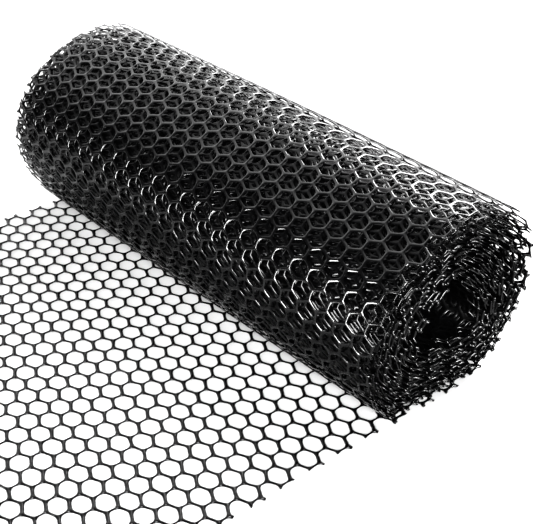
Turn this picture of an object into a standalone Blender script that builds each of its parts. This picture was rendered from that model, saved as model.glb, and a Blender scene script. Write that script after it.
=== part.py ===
"""A roll of black plastic mesh fencing, with the loose end of the net lying flat in front of it.

Metres, +Z up. X runs across the net and along the roll, and the loose end runs out towards -Y.
The origin is under the middle of the whole object's box, on the surface that it lies on.
"""

import math

import bmesh
import bpy

# The net
WIDTH = 0.400  # a standard width for small rolls
THICKNESS = 0.002
CLEARANCE = 0.0003  # between faces that touch on the real thing

# The wound form, whose axis runs a little askew of the net. Its far end is at -X, its near end at +X.
FAR_CENTRE_Y = 0.0890
FAR_CENTRE_Z = 0.0736
NEAR_CENTRE_Y = 0.1154
NEAR_CENTRE_Z = 0.0672
FAR_EYE_Y = 0.0870
FAR_EYE_Z = 0.0670
NEAR_EYE_Y = 0.1106
NEAR_EYE_Z = 0.0592
CONTACT_Y = 0.060  # where the outermost turn leaves the roll and becomes the loose end

# Distances in millimetres from the middle of the roll, and of its eye, at the far and near ends.
# The angle, in degrees, goes round from straight down, by the back (+Y) and the top.
MILLIMETRE = 0.001
OUTLINE_COLUMNS = ("angle", "far", "near", "far_eye", "near_eye")
OUTLINE = (
    (0, 73.6, 67.2, 24.0, 18.5),
    (30, 76.8, 68.3, 26.0, 23.0),
    (60, 74.8, 66.3, 27.0, 35.0),
    (90, 74.8, 74.3, 26.0, 26.5),
    (120, 80.3, 78.3, 25.0, 22.5),
    (150, 81.3, 75.3, 26.0, 25.5),
    (180, 74.8, 68.8, 27.0, 29.5),
    (210, 71.3, 62.8, 26.0, 25.5),
    (240, 73.8, 69.3, 26.5, 25.5),
    (270, 76.8, 77.8, 28.0, 29.5),
    (300, 78.8, 84.8, 29.0, 30.0),
    (330, 83.3, 84.8, 26.0, 21.0),
)
MIDDLE_SWELL = 0.0012  # by which the roll is fuller halfway along

# Each end is dished a little towards the eye, and its turns stand in and out of it along a spiral.
FAR_DISH = 0.001
NEAR_DISH = 0.003
RIDGE_DEPTH = 0.0020
RIDGES = 5

# How finely the wound form is made
STEPS_AROUND = 48
STATIONS = 6
END_RINGS = 15
SEAM = math.radians(6)  # left between the last and first points of an inner ring

# The gaps of the loose end, cut at just under twice the real net's 16 mm pitch
GAPS_ACROSS = 13
GAP_ROWS = 11
POINT_SHARE = 1 / 3  # of a row's spacing, by which the gaps' points reach between those of the next row
STRAND_SHARE = 0.13  # of the pitch across, for the strand between two gaps
WELD = 0.0001

PLASTIC_COLOR = (0.012, 0.012, 0.013, 1.0)
PLASTIC_ROUGHNESS = 0.38
SMOOTH_ANGLE = math.radians(35)


def clear_scene():
    for obj in list(bpy.data.objects):
        bpy.data.objects.remove(obj, do_unlink=True)


def plastic(name):
    material = bpy.data.materials.new(name)
    material.use_nodes = True
    shader = material.node_tree.nodes["Principled BSDF"]
    shader.inputs["Base Color"].default_value = PLASTIC_COLOR
    shader.inputs["Roughness"].default_value = PLASTIC_ROUGHNESS
    shader.inputs["Metallic"].default_value = 0.0
    return material


def add_object(name, shape, material):
    mesh = bpy.data.meshes.new(name)
    shape.to_mesh(mesh)
    shape.free()
    mesh.materials.append(material)
    obj = bpy.data.objects.new(name, mesh)
    bpy.context.scene.collection.objects.link(obj)
    return obj


def mix(a, b, share):
    return a + (b - a) * share


def radius(column, angle):
    """A column of the outline table in metres, as a smooth closed curve through its rows."""
    place = (angle / (2 * math.pi) % 1) * len(OUTLINE)
    row = int(place)
    share = place - row
    index = OUTLINE_COLUMNS.index(column)
    before, start, end, after = (OUTLINE[(row + k) % len(OUTLINE)][index] for k in (-1, 0, 1, 2))
    bend = 2 * before - 5 * start + 4 * end - after
    twist = 3 * (start - end) + after - before
    length = start + 0.5 * share * (end - before + share * (bend + share * twist))
    return length * MILLIMETRE


def outer_point(along, angle, floor):
    """A point of the roll's outside at a share of its length, no lower than the floor given."""
    reach = mix(radius("far", angle), radius("near", angle), along)
    reach += MIDDLE_SWELL * 4 * along * (1 - along)
    y = mix(FAR_CENTRE_Y, NEAR_CENTRE_Y, along)
    z = mix(FAR_CENTRE_Z, NEAR_CENTRE_Z, along)
    if reach * math.cos(angle) > z - floor:
        reach = (z - floor) / math.cos(angle)
    return y + reach * math.sin(angle), z - reach * math.cos(angle)


def eye_point(along, angle):
    reach = mix(radius("far_eye", angle), radius("near_eye", angle), along)
    y = mix(FAR_EYE_Y, NEAR_EYE_Y, along) + reach * math.sin(angle)
    z = mix(FAR_EYE_Z, NEAR_EYE_Z, along) - reach * math.cos(angle)
    return y, z


def contact_angle(along):
    """The angle at which the line of contact is seen from the middle of the roll."""
    across = CONTACT_Y - mix(FAR_CENTRE_Y, NEAR_CENTRE_Y, along)
    return math.atan2(across, mix(FAR_CENTRE_Z, NEAR_CENTRE_Z, along))


def end_relief(along, inward, turn):
    """How far an end face lies inside the roll, at a share of the way in and a share of a turn."""
    wave = math.cos(2 * math.pi * (inward * RIDGES + turn))
    dish = mix(FAR_DISH, NEAR_DISH, along) * inward
    return dish + RIDGE_DEPTH * (1 - wave) * min(1, inward * END_RINGS)


def ring(along, inward):
    """The points of one closed ring, at a share of the length and a share of the way to the eye.

    The outermost ring ends above the loose end, and so a step joins its last point to its first.
    """
    start = contact_angle(along)
    span = 2 * math.pi - SEAM * min(1, inward * END_RINGS)
    points = []
    for step in range(STEPS_AROUND + 1):
        turn = step / STEPS_AROUND
        angle = start + span * turn
        floor = 0 if turn < 0.5 else THICKNESS + CLEARANCE
        outer_y, outer_z = outer_point(along, angle, floor)
        eye_y, eye_z = eye_point(along, angle)
        relief = end_relief(along, inward, turn) * (2 * along - 1) if along in (0, 1) else 0
        x = WIDTH * (along - 0.5) - relief
        points.append((x, mix(outer_y, eye_y, inward), mix(outer_z, eye_z, inward)))
    return points


def make_roll(material):
    """One closed wall: the outside, the near end, the eye and the far end, ring after ring."""
    lengths = [station / STATIONS for station in range(STATIONS + 1)]
    depths = [number / END_RINGS for number in range(1, END_RINGS)]
    stops = [(along, 0) for along in lengths]
    stops += [(1, inward) for inward in depths]
    stops += [(along, 1) for along in reversed(lengths)]
    stops += [(0, inward) for inward in reversed(depths)]
    shape = bmesh.new()
    rings = [[shape.verts.new(point) for point in ring(*stop)] for stop in stops]
    for number, first in enumerate(rings):
        second = rings[(number + 1) % len(rings)]
        for step, vert in enumerate(first):
            after = (step + 1) % len(first)
            shape.faces.new((vert, first[after], second[after], second[step]))
    bmesh.ops.recalc_face_normals(shape, faces=shape.faces)
    roll = add_object("roll", shape, material)
    roll.data.shade_smooth()
    roll.data.set_sharp_from_angle(angle=SMOOTH_ANGLE)
    return roll


def back_of_roll():
    """The furthest that the roll reaches towards +Y, which it does at its near end."""
    return max(y for x, y, z in ring(1, 0))


def add_gap_outline(shape, x, y, pitch, row):
    """A six-sided face round one gap, with its points towards +Y and -Y."""
    side = row / 2 * (1 - POINT_SHARE)
    point = row - side
    half = pitch / 2
    places = ((0, point), (half, side), (half, -side), (0, -point), (-half, -side), (-half, side))
    shape.faces.new([shape.verts.new((x + across, y + up, 0)) for across, up in places])


def fit_between(verts, axis, low, high):
    """Stretches the points along one axis so that they reach from low to high."""
    lowest = min(vert.co[axis] for vert in verts)
    highest = max(vert.co[axis] for vert in verts)
    for vert in verts:
        vert.co[axis] = mix(low, high, (vert.co[axis] - lowest) / (highest - lowest))


def make_loose_end(material):
    """Rows of six-sided gaps in a thin sheet, every other row half a gap aside and one gap shorter."""
    pitch = WIDTH / GAPS_ACROSS
    front = -back_of_roll()
    back = CONTACT_Y - CLEARANCE
    row = (back - front) / (GAP_ROWS + POINT_SHARE)
    shape = bmesh.new()
    for number in range(GAP_ROWS):
        count = GAPS_ACROSS - number % 2
        for place in range(count):
            x = (place - (count - 1) / 2) * pitch
            add_gap_outline(shape, x, number * row, pitch, row)
    bmesh.ops.remove_doubles(shape, verts=shape.verts, dist=WELD)
    bmesh.ops.recalc_face_normals(shape, faces=shape.faces)
    gaps = list(shape.faces)
    rim = {"thickness": STRAND_SHARE * pitch / 2, "use_even_offset": True}
    bmesh.ops.inset_region(shape, faces=gaps, use_boundary=True, use_outset=True, **rim)
    bmesh.ops.inset_individual(shape, faces=gaps, **rim)
    bmesh.ops.delete(shape, geom=gaps, context="FACES_ONLY")
    fit_between(shape.verts, 0, -WIDTH / 2, WIDTH / 2)
    fit_between(shape.verts, 1, front, back)
    underside = bmesh.ops.extrude_face_region(shape, geom=list(shape.faces), use_keep_orig=True)
    top = [item for item in underside["geom"] if isinstance(item, bmesh.types.BMVert)]
    bmesh.ops.translate(shape, verts=top, vec=(0, 0, THICKNESS))
    bmesh.ops.recalc_face_normals(shape, faces=shape.faces)
    return add_object("loose_end", shape, material)


def main():
    clear_scene()
    make_roll(plastic("wound_net"))
    make_loose_end(plastic("loose_net"))


main()
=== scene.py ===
import math

import bmesh
import bpy
import numpy as np
from mathutils import Matrix, Vector


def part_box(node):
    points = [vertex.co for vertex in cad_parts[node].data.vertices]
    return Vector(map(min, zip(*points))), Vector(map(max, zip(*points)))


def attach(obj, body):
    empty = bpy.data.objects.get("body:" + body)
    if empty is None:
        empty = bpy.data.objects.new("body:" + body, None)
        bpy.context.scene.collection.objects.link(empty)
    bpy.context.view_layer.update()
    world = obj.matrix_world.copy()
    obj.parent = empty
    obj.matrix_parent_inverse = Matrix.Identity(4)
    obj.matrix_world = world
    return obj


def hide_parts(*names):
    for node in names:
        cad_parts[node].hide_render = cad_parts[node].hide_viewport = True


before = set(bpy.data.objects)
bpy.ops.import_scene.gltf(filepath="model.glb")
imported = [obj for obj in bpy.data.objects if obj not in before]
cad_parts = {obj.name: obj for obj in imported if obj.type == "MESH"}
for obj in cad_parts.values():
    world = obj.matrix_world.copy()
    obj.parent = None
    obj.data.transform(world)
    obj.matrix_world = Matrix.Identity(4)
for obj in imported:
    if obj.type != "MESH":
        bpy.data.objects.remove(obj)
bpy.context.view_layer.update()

bl_info = {
    "name": "Mesh Fencing Roll",
    "version": (1, 0, 0),
    "blender": (4, 5, 0),
    "location": "3D View > Sidebar > Net Roll",
    "description": "Makes a loosely wound roll of plastic mesh fencing with its loose end laid out in front",
    "category": "Add Mesh",
}

LOOSE_LOW, LOOSE_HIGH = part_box("loose_end")
MM = 0.001

# The wound form, as the frame has it: the middle of the roll and of its eye at the far (-X) and near (+X)
# end, and the line on which the outermost turn leaves the roll.
CENTRES = {"far": (89.0, 73.6), "near": (115.4, 67.2), "far_eye": (87.0, 67.0), "near_eye": (110.6, 59.2)}
CONTACT_Y = 0.060

# Distances in millimetres from those middles, every 30 degrees from straight down, by the back (+Y).
OUTLINES = {
    "far": (73.6, 76.8, 74.8, 74.8, 80.3, 81.3, 74.8, 71.3, 73.8, 76.8, 78.8, 83.3),
    "near": (67.2, 68.3, 66.3, 74.3, 78.3, 75.3, 68.8, 62.8, 69.3, 77.8, 84.8, 84.8),
    "far_eye": (24.0, 26.0, 27.0, 26.0, 25.0, 26.0, 27.0, 26.0, 26.5, 28.0, 29.0, 26.0),
    "near_eye": (18.5, 23.0, 35.0, 26.5, 22.5, 25.5, 29.5, 25.5, 25.5, 29.5, 30.0, 21.0),
}
MIDDLE_SWELL = 1.2 * MM  # by which the roll is fuller halfway along
OUTLINE_STEPS = 541  # for measuring the way round the outline

# How the turns lie. Turns are counted from the line of contact.
LEVEL_ANGLE = math.radians(215)  # round the roll, where the rows of gaps lie straight along it
SETTLING_TURNS = 0.45  # over which the rows come to lie along the roll instead of along the line of contact
SURFACE_TURNS = 0.5  # which rest on the surface itself, and the later ones at this height on top of them
LATER_HEIGHT = 2.4 * MM
LEAST_FALL = 0.05  # of a ray from the middle, as a share of its length, for the surface to stop it
GROUP_RATE = 1.37  # how often turns draw together, for each turn
GROUP_PHASE = 0.6
GROUP_START = 0.6  # the turn from which they do so
SLACK_START = 0.85  # the turn from which the net draws in, away from the outermost one
SLACK_TURNS = 0.25
STRAY_START = 1.6  # the turn from which the gaps stray
RISE_TURNS = 0.3  # over which the net becomes as uneven as it is on the roll
SPREAD_SHARE = 0.05  # of the wall, in which the turns come to stand out of the far end
LENGTH_STEPS = 6000  # for measuring the way along the turns
SPARE_TURNS = 0.3  # measured beyond the innermost one

# The waves that make the net uneven: how many are added up, the spread of their radians for each metre
# across and along it, and the mean of those along it. The rates are shares of the last two.
WAVES = 9
WAVE_ACROSS = 14
WAVE_ALONG = 34
WAVE_DRIFT = 30
SHIFT_RATE = 0.35
INNER_SHIFT_RATE = 0.6
LIFT_RATE = 0.8

# How the loose end lies on the surface
CLEARANCE = 0.2 * MM
LIFT = 0.4 * MM
LIFT_LENGTH = 20 * MM  # from the line of contact, over which it comes to lie that uneven

# The surface that the net follows, which reaches a little beyond it on each side
GUIDE_MARGIN = 0.016
GUIDE_COLUMNS = 17
GUIDE_STEP = 0.003

# The net's cells
CUT_START = -0.1910  # the Y of the plain cut across the loose end
CUT_TOLERANCE = 1e-7
HALF_CORNER = math.radians(30)  # half of the angle by which a gap's edge turns at a corner
LOWER_SIDES = (2, 3)  # of a gap's six, which are counted clockwise from its point at +Y
UPPER_SIDES = (5, 0)
MERGE_DISTANCE = 0.04 * MM
ROUNDING = 0.0001  # added before a number is rounded down to its row
STRANDS_SHARE = 0.31  # of the net's plan that its strands cover

# How the cells differ: the scales and the reach of two noises
STRAY_SCALE = 95.0
STRAY_REACH = 5.0
THICKNESS_REACH = 0.5
STUB_SCALE = 160.0
STUB_EDGES = (0.35, 0.65)  # of the noise, between which stubs go from short to long
STUB_START = 0.0009  # beyond the net's side, where the stubs begin to differ in length
STUB_REACH = 2.0
STUB_LOSS = 0.9  # the share that the shortest stubs lose

FIRST_ROW_Y = -0.0622  # the middle of row 0

# Rows of gaps are numbered along the net. Each piece runs from one row to another, and the first row of
# the loose end and the last one of the inner turns are cut through. points is how many parts each side of
# a gap has. slants and struts are factors for the widths of the slanting strands and of those along the
# net, and depth is one for their thickness. gloss is the strength of the plastic's reflections, and
# roughness is how much they spread.
PIECES = {
    "loose_net": {"rows": (-11, 10), "points": 4, "slants": 1.14, "struts": 0.85, "depth": 1.0,
                  "gloss": 0.17, "roughness": 0.11},
    "turns_1": {"rows": (11, 52), "points": 4, "slants": 1.08, "struts": 1.08, "depth": 0.62,
                "gloss": 0.50, "roughness": 0.12},
    # turns_2 has less gloss than turns_1 so that the inner turns seen through the gaps look darker: this is
    # painted shade, standing in for the shade that the outer turns cast on them.
    "turns_2": {"rows": (53, 186), "points": 2, "slants": 1.0, "struts": 1.0, "depth": 0.62,
                "gloss": 0.23, "roughness": 0.14},
    "turns_3": {"rows": (187, 320), "points": 2, "slants": 1.0, "struts": 1.0, "depth": 0.8,
                "gloss": 0.33, "roughness": 0.26},
    "turns_4": {"rows": (321, 548), "points": 1, "slants": 1.0, "struts": 1.0, "depth": 0.8,
                "gloss": 0.52, "roughness": 0.30},
    "turns_5": {"rows": (549, 774), "points": 1, "slants": 1.0, "struts": 1.0, "depth": 0.8,
                "gloss": 0.52, "roughness": 0.30},
}
TURNS = tuple(name for name in PIECES if name != "loose_net")

# The plastic's finish: the scales of its noises, and how much they change its colour and its roughness
CLOUD_SCALE = 55.0
SCUFF_SCALE = 240.0
GRAIN_SCALE = 900.0
CLOUD_TONE = 0.35
WORN_TONE = 0.5
CLOUD_ROUGHNESS = 0.04
WORN_ROUGHNESS = 0.10
GRAIN_ROUGHNESS = 0.05
RELIEF = 0.1 * MM

# The stage. The middle of the wide pale screen is given as seen from the roll, and its edge as the cosine of
# the angle from there. The camera is fitted to the even pattern of the loose end, and its turn is an axis
# times an angle, from the net's plan.
LIGHT_TARGET = (0, 0.05, 0.05)
BACK_LIGHT = {"place": (-0.3, 1.5, 1.5), "size": (1.6, 0.8)}
FRONT_LIGHT = {"place": (-0.3, -1.6, 0.38), "size": (0.38, 0.75)}
SIDE_LIGHT = {"place": (1.45, -1.0, 1.2), "size": (0.8, 0.8)}
SCREEN = (-0.78, 0.44, 0.45)
SCREEN_EDGE = 0.35
FLOOR_REACH = 4.0
FLOOR_PARTS = 8
CAMERA_PLACE = (0.5782, -0.3382, 0.4754)
CAMERA_TURN = (-0.9256, 0.4576, 0.808)
SENSOR_WIDTH = 36.0


# Node trees

class Value:
    """A number or colour socket of a node tree. Sums on it add Math nodes."""

    def __init__(self, board, socket):
        self.board = board
        self.socket = socket

    def math(self, operation, *values):
        sockets = dict(enumerate(values))
        return self.board.add("ShaderNodeMath", {"operation": operation}, sockets)[0]

    def __add__(self, other):
        return self.math("ADD", self, other)

    def __radd__(self, other):
        return self.math("ADD", other, self)

    def __sub__(self, other):
        return self.math("SUBTRACT", self, other)

    def __rsub__(self, other):
        return self.math("SUBTRACT", other, self)

    def __mul__(self, other):
        return self.math("MULTIPLY", self, other)

    def __rmul__(self, other):
        return self.math("MULTIPLY", other, self)

    def __truediv__(self, other):
        return self.math("DIVIDE", self, other)

    def __rtruediv__(self, other):
        return self.math("DIVIDE", other, self)

    def __gt__(self, other):
        return self.math("GREATER_THAN", self, other)

    def floor(self):
        return self.math("FLOOR", self)

    def size(self):
        return self.math("ABSOLUTE", self)

    def sign(self):
        return self.math("SIGN", self)

    def at_least(self, other):
        return self.math("MAXIMUM", self, other)

    def remainder(self, other):
        return self.math("FLOORED_MODULO", self, other)

    def step(self, low, high):
        """Rises smoothly from 0 at low to 1 at high."""
        settings = {"interpolation_type": "SMOOTHSTEP"}
        sockets = {"Value": self, "From Min": low, "From Max": high}
        return self.board.add("ShaderNodeMapRange", settings, sockets)["Result"]


class Board:
    """Adds nodes to one tree."""

    def __init__(self, tree):
        self.tree = tree

    def add(self, kind, settings=None, sockets=None):
        """Adds a node, and returns it with its outputs to be had as values, by number or name."""
        node = self.tree.nodes.new(kind)
        for name, value in (settings or {}).items():
            setattr(node, name, value)
        for key, value in (sockets or {}).items():
            socket = find_socket(node.inputs, key)
            if isinstance(value, Value):
                self.tree.links.new(value.socket, socket)
            else:
                socket.default_value = value
        return Added(self, node)


class Added:
    """A node of the tree, whose outputs are had as values."""

    def __init__(self, board, node):
        self.board = board
        self.node = node

    def __getitem__(self, key):
        return Value(self.board, find_socket(self.node.outputs, key))


def find_socket(sockets, key):
    if isinstance(key, int):
        return sockets[key]
    for socket in sockets:
        if socket.identifier == key:
            return socket
    for socket in sockets:
        if socket.name == key and socket.enabled:
            return socket
    raise KeyError(key)


# Settings

class NetSettings(bpy.types.PropertyGroup):
    """Sizes of the net and the finish of its plastic."""

    pitch: bpy.props.FloatProperty(
        name="Pitch", description="Distance from gap to gap across the net",
        default=0.016, min=0.005, subtype="DISTANCE", unit="LENGTH")
    row: bpy.props.FloatProperty(
        name="Row Spacing", description="Distance from one row of gaps to the next",
        default=0.011814, min=0.004, subtype="DISTANCE", unit="LENGTH")
    width: bpy.props.FloatProperty(
        name="Width", description="Width of the net",
        default=LOOSE_HIGH[0] - LOOSE_LOW[0], min=0.1, subtype="DISTANCE", unit="LENGTH")
    strand_width: bpy.props.FloatProperty(
        name="Strand Width", description="Width of a slanting strand at its middle",
        default=0.0021, min=0.0005, subtype="DISTANCE", unit="LENGTH")
    crossing_width: bpy.props.FloatProperty(
        name="Crossing Width", description="Width of a strand that slants the other way, at its middle",
        default=0.0017, min=0.0005, subtype="DISTANCE", unit="LENGTH")
    strut_width: bpy.props.FloatProperty(
        name="Strut Width", description="Width of a strand that runs along the net, at its middle",
        default=0.0016, min=0.0005, subtype="DISTANCE", unit="LENGTH")
    thickness: bpy.props.FloatProperty(
        name="Thickness", description="Thickness of the net",
        default=0.0015, min=0.0004, subtype="DISTANCE", unit="LENGTH")
    corner_radius: bpy.props.FloatProperty(
        name="Corner Radius", description="Radius of a gap's rounded corners",
        default=0.0034, min=0.0005, subtype="DISTANCE", unit="LENGTH")
    stub: bpy.props.FloatProperty(
        name="Stub", description="How far the cut strands stand out of the sides",
        default=0.0020, min=0.001, subtype="DISTANCE", unit="LENGTH")
    unevenness: bpy.props.FloatProperty(
        name="Unevenness", description="How far the strands stray from an even pattern",
        default=0.0004, min=0.0, subtype="DISTANCE", unit="LENGTH")
    seed: bpy.props.IntProperty(
        name="Seed", description="Which of the uneven patterns is used", default=7, min=0)
    color: bpy.props.FloatVectorProperty(
        name="Colour", description="Colour of the plastic", subtype="COLOR", size=4,
        default=(0.0008, 0.0008, 0.0009, 1.0), min=0.0, max=1.0)
    worn_color: bpy.props.FloatVectorProperty(
        name="Worn Colour", description="Colour of the plastic where it is scuffed", subtype="COLOR", size=4,
        default=(0.0020, 0.0020, 0.0022, 1.0), min=0.0, max=1.0)


class RollSettings(bpy.types.PropertyGroup):
    """How the net is wound."""

    turns: bpy.props.FloatProperty(
        name="Turns", description="Number of turns from the outside to the eye", default=27.0, min=3.0)
    tightness: bpy.props.FloatProperty(
        name="Tightness", description="Share of the wall's depth that each of the outer turns takes",
        default=0.036, min=0.01, max=0.1, subtype="FACTOR")
    far_tightness: bpy.props.FloatProperty(
        name="Tightness at the Far End", description="The same share at the roll's far end",
        default=0.02, min=0.01, max=0.1, subtype="FACTOR")
    waves: bpy.props.FloatProperty(
        name="Waves", description="How far a turn strays from its even place",
        default=0.00025, min=0.0, subtype="DISTANCE", unit="LENGTH")
    grouping: bpy.props.FloatProperty(
        name="Grouping", description="Share of a turn's spacing by which turns draw together or apart",
        default=0.22, min=0.0, max=0.4, subtype="FACTOR")
    wander: bpy.props.FloatProperty(
        name="Wander", description="How far the gaps of the inner turns stray along and across the net",
        default=0.003, min=0.0, subtype="DISTANCE", unit="LENGTH")
    shift: bpy.props.FloatProperty(
        name="Sideways Shift", description="How far turns stand in and out of the ends",
        default=0.0016, min=0.0, subtype="DISTANCE", unit="LENGTH")
    inner_shift: bpy.props.FloatProperty(
        name="Inner Shift", description="How much further the inner turns stand in and out of the ends",
        default=0.0018, min=0.0, subtype="DISTANCE", unit="LENGTH")
    offset: bpy.props.FloatProperty(
        name="Offset", description="How far the roll stands aside from the loose end, towards its far end",
        default=-0.0004, subtype="DISTANCE", unit="LENGTH")
    skew: bpy.props.FloatProperty(
        name="Skew", description="Share of a turn by which the rows lie further round at the near end",
        default=0.016, min=-0.1, max=0.1)
    slack: bpy.props.FloatProperty(
        name="Slack", description="Share of the wall's depth by which the outermost turn stands off the next",
        default=0.015, min=0.0, max=0.05, subtype="FACTOR")
    telescoping: bpy.props.FloatProperty(
        name="Telescoping", description="How far the innermost turns stand out of the far end",
        default=0.005, subtype="DISTANCE", unit="LENGTH")
    dishing: bpy.props.FloatProperty(
        name="Dishing", description="How far the innermost turn lies inside the near end",
        default=0.002, subtype="DISTANCE", unit="LENGTH")


class StageSettings(bpy.types.PropertyGroup):
    """The floor, the lights and the camera."""

    floor_color: bpy.props.FloatVectorProperty(
        name="Floor Colour", description="Colour of the floor", subtype="COLOR", size=4,
        default=(0.31, 0.31, 0.31, 1.0), min=0.0, max=1.0)
    back_power: bpy.props.FloatProperty(
        name="Back Light", description="Power of the large soft light above and behind the roll",
        default=80.0, min=0.0, unit="POWER")
    side_power: bpy.props.FloatProperty(
        name="Side Light", description="Power of the soft light beyond the near end",
        default=154.0, min=0.0, unit="POWER")
    screen: bpy.props.FloatProperty(
        name="Screen", description="Brightness of the wide pale screen beyond the roll", default=3.2, min=0.0)
    front_power: bpy.props.FloatProperty(
        name="Front Light", description="Power of the small light in front, which makes the glints",
        default=34.0, min=0.0, unit="POWER")
    world: bpy.props.FloatProperty(
        name="Surroundings", description="Brightness of the surroundings", default=0.2, min=0.0)
    lens: bpy.props.FloatProperty(
        name="Lens", description="Focal length of the camera", default=73.7, min=10.0, unit="CAMERA")


# The wound form

def mix(a, b, share):
    return a + (b - a) * share


def radius(name, angle):
    """A smooth closed curve through a row of the outlines, in metres."""
    table = np.array(OUTLINES[name]) * MM
    place = (angle / (2 * np.pi) % 1) * len(table)
    row = np.floor(place).astype(int)
    share = place - row
    before, start, end, after = (table[(row + k) % len(table)] for k in (-1, 0, 1, 2))
    bend = 2 * before - 5 * start + 4 * end - after
    twist = 3 * (start - end) + after - before
    return start + 0.5 * share * (end - before + share * (bend + share * twist))


def ring_point(far, near, along, angle):
    """Where a ray from the middle at an angle meets an outline: its y, z and reach from the middle."""
    reach = mix(radius(far, angle), radius(near, angle), along)
    y = mix(CENTRES[far][0], CENTRES[near][0], along) * MM
    z = mix(CENTRES[far][1], CENTRES[near][1], along) * MM
    return y, z, reach


def depth(turn, along, roll):
    """The share of the wall that lies outside a turn, and how much of it the next turn takes.

    The outer turns lie evenly, and those near the eye wider and wider apart.
    """
    turns = roll.turns
    outer = mix(roll.far_tightness, roll.tightness, along)
    left = 1 - outer * turns
    even = outer * turn + left * (turn / turns) ** 3
    step = outer + 3 * left * turn ** 2 / turns ** 3
    return even, step


def round_share(along, angle):
    """The share of the way round the outline, from straight down, at which some angles lie."""
    grid = np.linspace(-np.pi, 2 * np.pi, OUTLINE_STEPS)
    _, _, reach = ring_point("far", "near", along, grid)
    steps = np.hypot(np.diff(reach * np.sin(grid)), np.diff(reach * np.cos(grid)))
    length = np.concatenate([[0], np.cumsum(steps)])
    down, whole = np.interp((0, 2 * np.pi), grid, length)
    share = (length - down) / (whole - down)
    return np.interp(angle, grid, share), share, grid


def turned(along, turn, roll):
    """The angle to which a number of turns leads, with evenly spaced rows, at one place along the roll.

    The rows start parallel to the line of contact, and soon lie along the roll instead.
    """
    def contact(place):
        y, z, _ = ring_point("far", "near", place, 0.0)
        return np.arctan2(CONTACT_Y - y, z)

    start, share, grid = round_share(along, contact(along))
    level = round_share(along, LEVEL_ANGLE)[0] - round_share(0.5, LEVEL_ANGLE)[0]
    settled = round_share(0.5, contact(0.5))[0] + level + roll.skew * (along - 0.5)
    place = turn + mix(start, settled, np.clip(turn / SETTLING_TURNS, 0, 1))
    whole = np.floor(place)
    return 2 * np.pi * whole + np.interp(place - whole, share, grid)


def wound_point(along, turn, roll):
    """A point of the wound net, at a share of its width and a number of turns from the line of contact."""
    turn = np.broadcast_to(turn, np.broadcast(along, turn).shape)
    if np.ndim(along):
        angle = np.stack([turned(along[0, k], turn[:, k], roll) for k in range(turn.shape[1])], axis=1)
    else:
        angle = turned(along, turn, roll)
    y, z, reach = ring_point("far", "near", along, angle)
    reach = reach + MIDDLE_SWELL * 4 * along * (1 - along)
    down = np.cos(angle)
    floor = np.where(turn < SURFACE_TURNS, 0.0, LATER_HEIGHT)
    limit = np.where(down > LEAST_FALL, (z - floor) / np.maximum(down, LEAST_FALL), np.inf)
    reach = np.minimum(reach, limit)
    eye_y, eye_z, eye_reach = ring_point("far_eye", "near_eye", along, angle)
    even, step = depth(turn, along, roll)
    bunching = np.sin(2 * np.pi * turn * GROUP_RATE + GROUP_PHASE) * np.clip(turn - GROUP_START, 0, 1)
    group = roll.grouping * step * bunching
    slack = roll.slack * np.clip((turn - SLACK_START) / SLACK_TURNS, 0, 1)
    inward = slack + even * (1 - roll.slack) + group
    outer = np.stack([y + reach * np.sin(angle), z - reach * down])
    eye = np.stack([eye_y + eye_reach * np.sin(angle), eye_z - eye_reach * down])
    return mix(outer, eye, inward)


def wave(x, s, seed):
    """A smooth uneven surface between about -1 and 1."""
    random = np.random.default_rng(seed)
    total = np.zeros(np.broadcast(x, s).shape)
    for _ in range(WAVES):
        along_x = random.normal() * WAVE_ACROSS
        along_s = random.normal() * WAVE_ALONG + WAVE_DRIFT
        total += np.sin(along_x * x + along_s * s + random.uniform(0, 2 * np.pi))
    return total / math.sqrt(WAVES)


def net_end(settings):
    """How far the net reaches into the roll from the line of contact."""
    last = PIECES[TURNS[-1]]["rows"][1]
    return FIRST_ROW_Y + last * settings.row - CONTACT_Y


def guide_points(net, roll):
    """The places and normals of the surface that the net's middle follows, row by row."""
    low = CUT_START - CONTACT_Y - GUIDE_MARGIN
    high = net_end(net) + GUIDE_MARGIN
    steps = int((high - low) / GUIDE_STEP) + 2
    s = np.linspace(low, high, steps)[:, None]
    half = net.width / 2 + GUIDE_MARGIN
    x = np.linspace(-half, half, GUIDE_COLUMNS)[None, :]

    dense = np.linspace(0, roll.turns + SPARE_TURNS, LENGTH_STEPS)
    middle = wound_point(0.5, dense, roll)
    lengths = np.concatenate([[0], np.cumsum(np.hypot(*np.diff(middle, axis=1)))])
    turn = np.interp(np.maximum(s, 0), lengths, dense)
    astray = roll.wander * np.clip(turn - STRAY_START, 0, 1)
    turn = np.interp(np.maximum(s + astray * wave(x, s, net.seed + 4), 0), lengths, dense)

    along = x / net.width + 0.5
    wound = wound_point(along, turn + 0 * along, roll)
    flat = s < 0
    y = np.where(flat, CONTACT_Y + s, wound[0])
    z = np.where(flat, 0, wound[1])
    share, step = depth(turn, along, roll)
    rise = np.clip(turn / RISE_TURNS, 0, 1)
    shift = rise * (roll.shift * wave(0 * x, s * SHIFT_RATE, net.seed + 1) - roll.offset)
    inner = roll.inner_shift * np.clip(turn - 1, 0, 1)
    shift = shift + inner * wave(0 * x, s * INNER_SHIFT_RATE, net.seed + 6)
    spread = roll.telescoping * (1 - np.exp(-share / SPREAD_SHARE)) * rise
    across = x + shift - spread * (1 - along) - roll.dishing * share * along
    across = across + astray * wave(x, s, net.seed + 5) * np.clip(1 - (2 * x / net.width) ** 4, 0, 1)
    places = np.stack([across, y, z], axis=-1)

    normals = surface_normals(places)
    places = places + normals * (net.thickness / 2)
    loose = roll.waves * rise * step / roll.tightness
    places = places + normals * (loose * wave(x, s, net.seed))[..., None]
    places[..., 2] = np.maximum(places[..., 2], net.thickness / 2 + CLEARANCE)
    places[..., 2] += LIFT * (1 + wave(x, s * LIFT_RATE, net.seed + 2)) * np.clip(-s / LIFT_LENGTH, 0, 1)
    return places, surface_normals(places)


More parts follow.
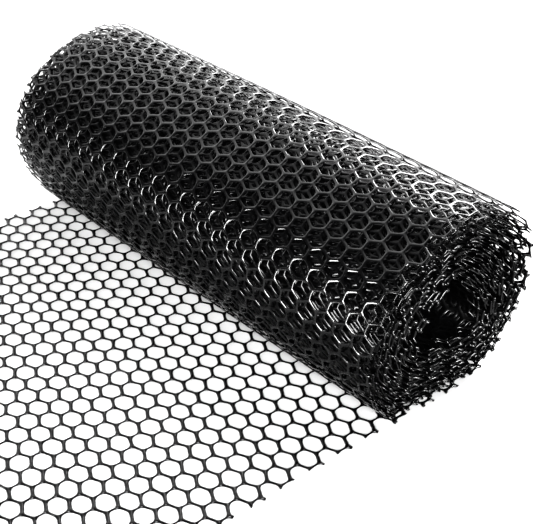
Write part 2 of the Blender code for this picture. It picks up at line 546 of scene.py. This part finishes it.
def surface_normals(places):
    across = np.gradient(places, axis=1)
    onwards = np.gradient(places, axis=0)
    normals = np.cross(across, onwards)
    return normals / np.linalg.norm(normals, axis=-1, keepdims=True)


def make_guide(net, roll):
    """A surface with a UV map that runs across and along the net, and the normal stored at each point."""
    places, normals = guide_points(net, roll)
    rows, columns = places.shape[:2]
    index = np.arange(rows * columns).reshape(rows, columns)
    faces = np.stack([index[:-1, :-1], index[:-1, 1:], index[1:, 1:], index[1:, :-1]], axis=-1).reshape(-1, 4)
    mesh = bpy.data.meshes.new("guide")
    mesh.from_pydata(places.reshape(-1, 3).tolist(), [], faces.tolist())
    layer = mesh.uv_layers.new(name="way")
    loops = np.zeros(len(mesh.loops), dtype=np.int32)
    mesh.loops.foreach_get("vertex_index", loops)
    uv = np.stack([loops % columns / (columns - 1), loops // columns / (rows - 1)], axis=-1)
    layer.uv.foreach_set("vector", uv.astype(np.float32).ravel())
    stored = mesh.attributes.new("upward", "FLOAT_VECTOR", "POINT")
    stored.data.foreach_set("vector", normals.astype(np.float32).ravel())
    guide = bpy.data.objects.new("guide", mesh)
    bpy.context.scene.collection.objects.link(guide)
    return guide


# The net's cells

def gap_outline(net, plan):
    """The corners and sides round one gap: places on the strands' middle lines and on the gap's edge."""
    half = net.pitch / 2
    point = net.row * 2 / 3
    side = net.row / 3
    corners = [Vector(c) for c in (
        (0, point), (half, side), (half, -side), (0, -point), (-half, -side), (-half, side))]
    points = plan["points"]
    strand = net.strand_width / 2 * plan["slants"]
    crossing = net.crossing_width / 2 * plan["slants"]
    strut = net.strut_width / 2 * plan["struts"]
    margins = (strand, strut, crossing, strand, strut, crossing)
    lines = []
    for k, corner in enumerate(corners):
        after = corners[(k + 1) % 6]
        way = (after - corner).normalized()
        inward = Vector((way.y, -way.x))
        lines.append((corner + inward * margins[k], way))
    inner = []
    for k in range(6):
        (a, way_a), (b, way_b) = lines[k - 1], lines[k]
        cross = way_a.x * way_b.y - way_a.y * way_b.x
        reach = ((b - a).x * way_b.y - (b - a).y * way_b.x) / cross
        inner.append(a + way_a * reach)
    middles, edges = [], []
    for k in range(6):
        corner, after = corners[k], corners[(k + 1) % 6]
        way = lines[k][1]
        for m in range(points):
            share = m / points
            middles.append(corner.lerp(after, share))
            edges.append(rounded_place(inner, k, share, points, net.corner_radius, way))
    return middles, edges


def rounded_place(inner, k, share, points, fillet, way):
    """A place on the gap's edge, whose corners are rounded."""
    here, after, before = inner[k], inner[(k + 1) % 6], inner[k - 1]
    back = (before - here).normalized()
    if share == 0:
        bisector = (back + way).normalized()
        half_angle = math.acos(max(-1, min(1, back.dot(way)))) / 2
        return here + bisector * (fillet / math.sin(half_angle) - fillet)
    length = (after - here).length
    tangent = fillet * math.tan(HALF_CORNER)
    if share < 0.5:
        return here + way * tangent
    if share > 0.5:
        return after - way * tangent
    return here + way * (length / 2)


def add_cell(net, name, centre, plan, cuts, walls, rounded):
    """One gap's ring of half strands, cut by planes, with walls on some sides where the next piece starts.

    centre is the gap's place on the flat net. cuts are (axis, value, sign), and what lies beyond is taken
    off. walls are the numbers of the hexagon's sides that are closed. Strands that aren't rounded have
    sharp edges.
    """
    points = plan["points"]
    middles, edges = gap_outline(net, plan)
    shape = bmesh.new()
    crest = shape.verts.layers.float.new("crest")
    half = net.thickness / 2 * plan["depth"]
    count = len(middles)
    top = [shape.verts.new((m.x, m.y, half)) for m in middles]
    rim = [shape.verts.new((e.x, e.y, 0)) for e in edges]
    under = [shape.verts.new((m.x, m.y, -half)) for m in middles]
    for vert in top + under:
        vert[crest] = 1.0
    for k in range(count):
        n = (k + 1) % count
        shape.faces.new((top[k], rim[k], rim[n], top[n]))
        shape.faces.new((under[n], rim[n], rim[k], under[k]))
        if k // points in walls:
            shape.faces.new((top[k], top[n], under[n], under[k]))
        shape.edges.get((rim[k], rim[n])).smooth = rounded
    for axis, value, sign in cuts:
        plane = Vector((0, 0, 0))
        plane[axis] = value - centre[axis]
        normal = Vector((0, 0, 0))
        normal[axis] = sign
        cut_and_cap(shape, plane, normal)
    mesh = bpy.data.meshes.new(name)
    shape.to_mesh(mesh)
    shape.free()
    return bpy.data.objects.new(name, mesh)


def cut_and_cap(shape, plane, normal):
    """Takes off what lies beyond a plane, and closes each strand that it cuts."""
    geometry = shape.verts[:] + shape.edges[:] + shape.faces[:]
    result = bmesh.ops.bisect_plane(
        shape, geom=geometry, dist=CUT_TOLERANCE, plane_co=plane, plane_no=normal, clear_outer=True)
    edges = [item for item in result["geom_cut"] if isinstance(item, bmesh.types.BMEdge)]
    while edges:
        chain = list(edges.pop().verts)
        grown = True
        while grown:
            grown = False
            for edge in edges:
                a, b = edge.verts
                if chain[-1] in (a, b):
                    chain.append(b if chain[-1] is a else a)
                elif chain[0] in (a, b):
                    chain.insert(0, b if chain[0] is a else a)
                else:
                    continue
                edges.remove(edge)
                grown = True
                break
        if chain[0] is chain[-1]:
            chain.pop()
        if len(chain) > 2:
            face = shape.faces.new(chain)
            face.normal_update()
            if face.normal.dot(normal) < 0:
                face.normal_flip()


def make_cells(net, name, collection):
    """The kinds of cell of one piece: its left, inner and right ones in first, odd, even and last rows."""
    plan = PIECES[name]
    first, last = plan["rows"]
    odd = first + 3 - first % 2
    even = odd + 1
    start_cut = name == "loose_net"
    end_cut = name == TURNS[-1]
    side = net.width / 2 + net.stub
    kinds = []
    for kind, row in (("first", first), ("odd", odd), ("even", even), ("last", last)):
        y = FIRST_ROW_Y + row * net.row
        is_odd = row % 2
        end = net.width / 2 + (net.pitch / 2 if is_odd else 0)
        walls = ()
        cuts = []
        if kind == "first":
            if start_cut:
                cuts.append((1, CUT_START, -1))
            else:
                walls = LOWER_SIDES
        if kind == "last":
            if end_cut:
                cuts.append((1, y, 1))
            else:
                walls = UPPER_SIDES
        for place, x in (("left", -end), ("inner", 0.0), ("right", end)):
            more = {"left": [(0, -side, -1)], "inner": [], "right": [(0, side, 1)]}[place]
            label = "cell_%02d" % len(kinds)
            rounded = start_cut or place != "inner"
            cell = add_cell(net, label, Vector((x, y)), plan, cuts + more, walls, rounded)
            collection.objects.link(cell)
            kinds.append(cell)
    return kinds


# The tree that lays the cells out and winds them

NET_INPUTS = (
    ("Cells", "NodeSocketCollection"),
    ("Guide", "NodeSocketObject"),
    ("Material", "NodeSocketMaterial"),
    ("First Row", "NodeSocketInt"),
    ("Rows", "NodeSocketInt"),
    ("Width", "NodeSocketFloat"),
    ("Pitch", "NodeSocketFloat"),
    ("Row Spacing", "NodeSocketFloat"),
    ("First Row Place", "NodeSocketFloat"),
    ("Guide Start", "NodeSocketFloat"),
    ("Guide Length", "NodeSocketFloat"),
    ("Guide Width", "NodeSocketFloat"),
    ("Unevenness", "NodeSocketFloat"),
    ("Seed", "NodeSocketInt"),
)


def make_net_tree():
    """Cells in rows, every other row half a cell aside, joined, roughened and laid on the guide."""
    tree = bpy.data.node_groups.new("Wound Net", "GeometryNodeTree")
    for name, kind in NET_INPUTS:
        tree.interface.new_socket(name, in_out="INPUT", socket_type=kind)
    tree.interface.new_socket("Geometry", in_out="OUTPUT", socket_type="NodeSocketGeometry")
    board = Board(tree)
    given = board.add("NodeGroupInput")
    pitch = given["Pitch"]
    per_row = (given["Width"] / pitch + 2.5).floor()

    number = board.add("GeometryNodeInputIndex")[0]
    row = (number / per_row + ROUNDING).floor()
    column = number - row * per_row
    parity = (given["First Row"] + row).remainder(2.0)
    x = (column - per_row / 2 + 1.0 - 0.5 * parity) * pitch
    y = given["First Row Place"] + (given["First Row"] + row) * given["Row Spacing"]
    place = board.add("ShaderNodeCombineXYZ", sockets={"X": x, "Y": y})[0]
    points = board.add("GeometryNodePoints", sockets={
        "Count": per_row * given["Rows"], "Position": place})[0]

    last_column = per_row - 2.0 + parity
    here = 1.0 - (column > last_column)
    column_kind = (column > 0.5) + (column > last_column - 0.5)
    row_kind = (row > 0.5) * (2.0 - parity)
    row_kind = row_kind + (row > given["Rows"] - 1.5) * (3.0 - row_kind)
    cells = board.add("GeometryNodeCollectionInfo", sockets={
        "Collection": given["Cells"], "Separate Children": True, "Reset Children": True})[0]
    laid = board.add("GeometryNodeInstanceOnPoints", sockets={
        "Points": points, "Selection": here, "Instance": cells, "Pick Instance": True,
        "Instance Index": row_kind * 3.0 + column_kind})[0]
    real = board.add("GeometryNodeRealizeInstances", sockets={"Geometry": laid})[0]
    joined = board.add("GeometryNodeMergeByDistance", sockets={
        "Geometry": real, "Distance": MERGE_DISTANCE})[0]

    spot = board.add("GeometryNodeInputPosition")[0]
    stray = board.add("ShaderNodeTexNoise", {"noise_dimensions": "4D"}, {
        "Vector": spot, "W": given["Seed"], "Scale": STRAY_SCALE, "Detail": 1.0})["Color"]
    stray = board.add("ShaderNodeVectorMath", {"operation": "SUBTRACT"}, {0: stray, 1: (0.5, 0.5, 0.5)})[0]
    parts = board.add("ShaderNodeSeparateXYZ", sockets={0: spot})
    off = board.add("ShaderNodeSeparateXYZ", sockets={0: stray})
    wander = given["Unevenness"] * STRAY_REACH
    stub_noise = board.add("ShaderNodeTexNoise", {"noise_dimensions": "4D"}, {
        "Vector": spot, "W": given["Seed"] + 3.0, "Scale": STUB_SCALE, "Detail": 0.0})[0]
    out = (parts["X"].size() - (given["Width"] / 2 + STUB_START)).at_least(0.0)
    stub = out * (stub_noise.step(*STUB_EDGES) * STUB_REACH - STUB_LOSS) * parts["X"].sign()
    flat_x = parts["X"] + off["X"] * wander + stub
    flat_y = parts["Y"] + off["Y"] * wander
    u = (flat_x + given["Guide Width"] / 2) / given["Guide Width"]
    v = (flat_y - given["Guide Start"]) / given["Guide Length"]
    where = board.add("ShaderNodeCombineXYZ", sockets={"X": u, "Y": v})[0]
    guide = board.add("GeometryNodeObjectInfo", sockets={"Object": given["Guide"]})["Geometry"]
    way = named(board, "way")
    middle = sampled(board, guide, spot, way, where)
    upward = sampled(board, guide, named(board, "upward"), way, where)
    height = parts["Z"] * (1.0 + off["Z"] * THICKNESS_REACH)
    upward = board.add("ShaderNodeVectorMath", {"operation": "SCALE"}, {0: upward, "Scale": height})[0]
    wound_place = board.add("ShaderNodeVectorMath", {"operation": "ADD"}, {0: middle, 1: upward})[0]
    bent = board.add("GeometryNodeSetPosition", sockets={"Geometry": joined, "Position": wound_place})[0]
    smooth = board.add("GeometryNodeSetShadeSmooth", sockets={"Geometry": bent})[0]
    finished = board.add("GeometryNodeSetMaterial", sockets={
        "Geometry": smooth, "Material": given["Material"]})[0]
    board.add("NodeGroupOutput", sockets={"Geometry": finished})
    return tree


def named(board, name):
    settings = {"data_type": "FLOAT_VECTOR"}
    return board.add("GeometryNodeInputNamedAttribute", settings, {"Name": name})["Attribute"]


def sampled(board, guide, value, way, where):
    """A value of the guide's surface at a place of its UV map."""
    return board.add("GeometryNodeSampleUVSurface", {"data_type": "FLOAT_VECTOR"}, {
        "Mesh": guide, "Value": value, "Source UV Map": way, "Sample UV": where})["Value"]


def make_piece(name, net, roll):
    """Makes one piece of the net as a plain mesh."""
    cells = bpy.data.collections.new("cells")
    bpy.context.scene.collection.children.link(cells)
    kinds = make_cells(net, name, cells)
    guide = make_guide(net, roll)
    tree = make_net_tree()
    first, last = PIECES[name]["rows"]
    low = CUT_START - GUIDE_MARGIN
    high = CONTACT_Y + net_end(net) + GUIDE_MARGIN
    values = {
        "Cells": cells, "Guide": guide, "Material": make_plastic(name, net),
        "First Row": first, "Rows": last - first + 1, "First Row Place": FIRST_ROW_Y,
        "Width": net.width, "Pitch": net.pitch, "Row Spacing": net.row,
        "Guide Start": low, "Guide Length": high - low, "Guide Width": net.width + 2 * GUIDE_MARGIN,
        "Unevenness": net.unevenness, "Seed": net.seed,
    }
    carrier = bpy.data.objects.new(name + "_plan", bpy.data.meshes.new(name + "_plan"))
    bpy.context.scene.collection.objects.link(carrier)
    modifier = carrier.modifiers.new("net", "NODES")
    modifier.node_group = tree
    for item in tree.interface.items_tree:
        if item.in_out == "INPUT":
            modifier[item.identifier] = values[item.name]
    graph = bpy.context.evaluated_depsgraph_get()
    mesh = bpy.data.meshes.new_from_object(carrier.evaluated_get(graph), depsgraph=graph)
    mesh.name = name
    piece = bpy.data.objects.new(name, mesh)
    bpy.context.scene.collection.objects.link(piece)
    carrier.modifiers.remove(modifier)
    for obj in [carrier, guide] + kinds:
        data = obj.data
        bpy.data.objects.remove(obj, do_unlink=True)
        bpy.data.meshes.remove(data)
    bpy.data.collections.remove(cells)
    bpy.data.node_groups.remove(tree)
    if not mesh.polygons:
        raise RuntimeError("the tree made nothing for " + name)
    return piece


def declare(piece, node):
    """Attaches the piece to the root body and hides the part of the model that it stands for. The length that
    its rows take is worked out, but nothing uses it.
    """
    net = bpy.context.scene.net_roll_net
    first, last = PIECES[piece.name]["rows"]
    length = (last - first + 1) * net.row
    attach(piece, "root")
    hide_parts(node)
    STRANDS_SHARE * net.width * length


# The plastic

def make_plastic(name, net):
    """Black satin plastic with a clouded tone, scuffed crests and a fine grain."""
    material = bpy.data.materials.new(name + "_plastic")
    material.use_nodes = True
    material.node_tree.nodes.clear()
    board = Board(material.node_tree)
    where = board.add("ShaderNodeTexCoord")["Object"]
    crest = board.add("ShaderNodeAttribute", {"attribute_name": "crest"})["Fac"]
    cloud = board.add("ShaderNodeTexNoise", sockets={"Vector": where, "Scale": CLOUD_SCALE, "Detail": 3.0})[0]
    grain = board.add("ShaderNodeTexNoise", sockets={"Vector": where, "Scale": GRAIN_SCALE, "Detail": 2.0})[0]
    scuff = board.add("ShaderNodeTexNoise", sockets={
        "Vector": where, "Scale": SCUFF_SCALE, "Detail": 4.0, "Distortion": 0.6})[0]
    worn = scuff.step(0.56, 0.68) * crest.step(0.35, 0.95)
    tone = board.add("ShaderNodeMix", {"data_type": "RGBA"}, {
        "Factor_Float": cloud.step(0.35, 0.7) * CLOUD_TONE + worn * WORN_TONE,
        "A_Color": net.color[:], "B_Color": net.worn_color[:]})["Result_Color"]
    roughness = PIECES[name]["roughness"] + cloud.step(0.3, 0.7) * CLOUD_ROUGHNESS
    roughness = roughness + worn * WORN_ROUGHNESS + (grain - 0.5) * GRAIN_ROUGHNESS
    height = grain * 0.6 + scuff * 0.4
    bump = board.add("ShaderNodeBump", sockets={
        "Strength": 0.2, "Distance": RELIEF, "Height": height})["Normal"]
    shader = board.add("ShaderNodeBsdfPrincipled", sockets={
        "Base Color": tone, "Roughness": roughness, "Normal": bump,
        "Specular IOR Level": PIECES[name]["gloss"]})[0]
    board.add("ShaderNodeOutputMaterial", sockets={"Surface": shader})
    return material


# Operators

class NETROLL_OT_loose_end(bpy.types.Operator):
    """Makes the single layer of net that lies flat in front of the roll"""

    bl_idname = "net_roll.loose_end"
    bl_label = "Make Loose End"

    def execute(self, context):
        net = context.scene.net_roll_net
        roll = context.scene.net_roll_roll
        piece = make_piece("loose_net", net, roll)
        declare(piece, "loose_end")
        return {"FINISHED"}


class NETROLL_OT_turns(bpy.types.Operator):
    """Makes the wound turns of the net, from the outermost to the innermost"""

    bl_idname = "net_roll.turns"
    bl_label = "Make Turns"

    def execute(self, context):
        net = context.scene.net_roll_net
        roll = context.scene.net_roll_roll
        for name in TURNS:
            piece = make_piece(name, net, roll)
            declare(piece, "roll")
        return {"FINISHED"}


class NETROLL_OT_stage(bpy.types.Operator):
    """Makes the floor, the lights and the camera"""

    bl_idname = "net_roll.stage"
    bl_label = "Make Stage"

    def execute(self, context):
        stage = context.scene.net_roll_stage
        make_floor(stage)
        make_lights(stage)
        make_camera(stage)
        return {"FINISHED"}


def make_floor(stage):
    """A large plain floor."""
    shape = bmesh.new()
    bmesh.ops.create_grid(shape, x_segments=FLOOR_PARTS, y_segments=FLOOR_PARTS, size=FLOOR_REACH)
    mesh = bpy.data.meshes.new("floor")
    shape.to_mesh(mesh)
    shape.free()
    floor = bpy.data.objects.new("floor", mesh)
    bpy.context.scene.collection.objects.link(floor)
    material = bpy.data.materials.new("floor_paint")
    material.use_nodes = True
    material.node_tree.nodes.clear()
    board = Board(material.node_tree)
    where = board.add("ShaderNodeTexCoord")["Object"]
    cloud = board.add("ShaderNodeTexNoise", sockets={"Vector": where, "Scale": 3.0, "Detail": 2.0})[0]
    shader = board.add("ShaderNodeBsdfPrincipled", sockets={
        "Base Color": stage.floor_color[:], "Roughness": 0.85 + (cloud - 0.5) * 0.1,
        "Specular IOR Level": 0.0})[0]
    board.add("ShaderNodeOutputMaterial", sockets={"Surface": shader})
    mesh.materials.append(material)


def add_area_light(name, place, size, power):
    light = bpy.data.lights.new(name, "AREA")
    light.shape = "RECTANGLE"
    light.size, light.size_y = size
    light.energy = power
    lamp = bpy.data.objects.new(name, light)
    lamp.location = place
    lamp.rotation_euler = (Vector(LIGHT_TARGET) - Vector(place)).to_track_quat("-Z", "Y").to_euler()
    bpy.context.scene.collection.objects.link(lamp)


def make_surroundings(stage):
    """A dark room with a wide pale screen beyond the roll, whose edges fade out."""
    world = bpy.data.worlds.new("surroundings")
    world.use_nodes = True
    world.node_tree.nodes.clear()
    board = Board(world.node_tree)
    way = board.add("ShaderNodeTexCoord")["Generated"]
    facing = board.add("ShaderNodeVectorMath", {"operation": "DOT_PRODUCT"}, {0: way, 1: SCREEN})["Value"]
    light = stage.world + facing.step(SCREEN_EDGE, 1.0) * stage.screen
    background = board.add("ShaderNodeBackground", sockets={"Strength": light})[0]
    board.add("ShaderNodeOutputWorld", sockets={"Surface": background})
    bpy.context.scene.world = world


def make_lights(stage):
    add_area_light("back_light", **BACK_LIGHT, power=stage.back_power)
    add_area_light("front_light", **FRONT_LIGHT, power=stage.front_power)
    add_area_light("side_light", **SIDE_LIGHT, power=stage.side_power)
    make_surroundings(stage)
    bpy.context.scene.view_settings.view_transform = "Standard"
    bpy.context.scene.view_settings.look = "High Contrast"


def make_camera(stage):
    camera = bpy.data.cameras.new("camera")
    camera.lens = stage.lens
    camera.sensor_width = SENSOR_WIDTH
    camera.sensor_fit = "HORIZONTAL"
    camera.dof.use_dof = False
    axis = Vector(CAMERA_TURN)
    turn = Matrix.Rotation(axis.length, 3, axis.normalized())
    flip = Matrix(((1, 0, 0), (0, -1, 0), (0, 0, -1)))
    right, down, forward = turn @ flip
    obj = bpy.data.objects.new("camera", camera)
    basis = Matrix((right, -down, -forward)).transposed()
    obj.matrix_world = Matrix.Translation(CAMERA_PLACE) @ basis.to_4x4()
    bpy.context.scene.collection.objects.link(obj)
    bpy.context.scene.camera = obj


class NETROLL_PT_panel(bpy.types.Panel):
    """Lists the pieces and their settings"""

    bl_idname = "NETROLL_PT_panel"
    bl_label = "Net Roll"
    bl_space_type = "VIEW_3D"
    bl_region_type = "UI"
    bl_category = "Net Roll"

    def draw(self, context):
        layout = self.layout
        for operator in OPERATORS:
            layout.operator(operator.bl_idname)
        for group in (context.scene.net_roll_net, context.scene.net_roll_roll, context.scene.net_roll_stage):
            box = layout.box()
            for name in group.bl_rna.properties.keys():
                if name not in ("rna_type", "name"):
                    box.prop(group, name)


GROUPS = (("net_roll_net", NetSettings), ("net_roll_roll", RollSettings), ("net_roll_stage", StageSettings))
OPERATORS = (NETROLL_OT_loose_end, NETROLL_OT_turns, NETROLL_OT_stage)


def register():
    for name, group in GROUPS:
        bpy.utils.register_class(group)
        setattr(bpy.types.Scene, name, bpy.props.PointerProperty(type=group))
    for operator in OPERATORS:
        bpy.utils.register_class(operator)
    bpy.utils.register_class(NETROLL_PT_panel)


def unregister():
    bpy.utils.unregister_class(NETROLL_PT_panel)
    for operator in reversed(OPERATORS):
        bpy.utils.unregister_class(operator)
    for name, group in reversed(GROUPS):
        delattr(bpy.types.Scene, name)
        bpy.utils.unregister_class(group)


def main():
    register()
    bpy.ops.net_roll.loose_end()
    bpy.ops.net_roll.turns()
    bpy.ops.net_roll.stage()


if __name__ == "__main__":
    main()
